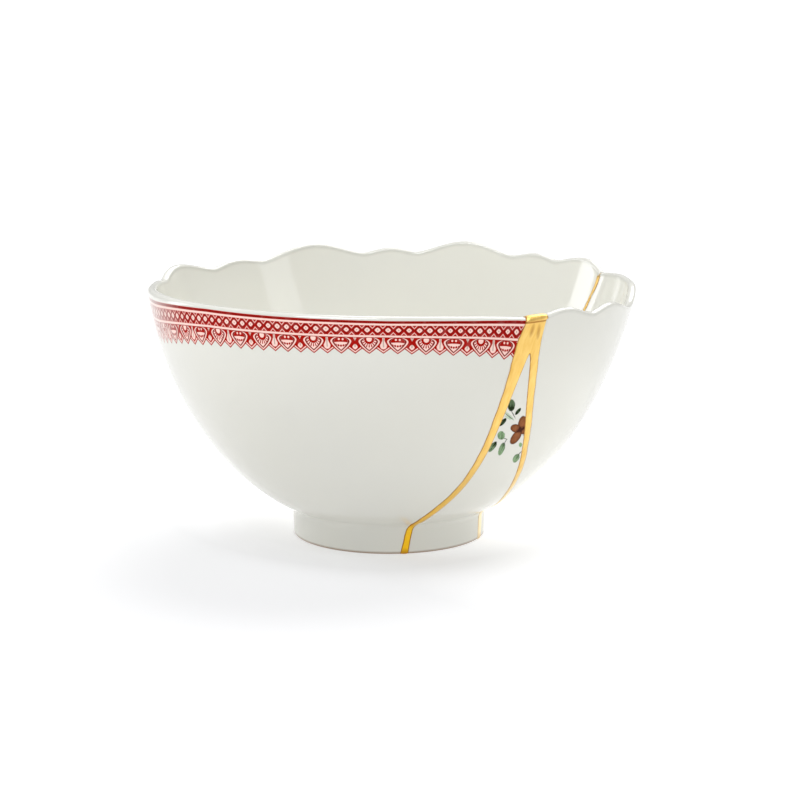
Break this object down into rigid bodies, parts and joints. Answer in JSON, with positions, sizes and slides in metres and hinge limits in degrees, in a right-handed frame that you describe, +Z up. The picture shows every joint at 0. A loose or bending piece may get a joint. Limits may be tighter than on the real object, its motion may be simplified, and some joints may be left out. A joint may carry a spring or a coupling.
{
  "type": "kintsugi bowl",
  "caption": "Footed porcelain bowl of joined shards, part plain rim with red lace border and part scalloped rim, with raised gold seams that fork down the front to the foot.",
  "frame": {"origin": "centre of the bowl on the surface it stands on", "axes": "+Z up along the bowl's axis, +X to the right seen from the front, +Y to the back, with the forked gold seam at the front right"},
  "size_m": [0.193, 0.1935, 0.1046],
  "materials": {
    "porcelain": "clear gloss glaze over slightly warm white porcelain, with a red border and a small painted sprig",
    "gold": "bright brushed-on gold with brown edges"
  },
  "bodies": {
    "root": {"main_shard": "porcelain", "right_shard": "porcelain", "flower_shard": "porcelain", "front_gold_seam": "gold", "back_gold_seam": "gold"}
  },
  "joints": []
}
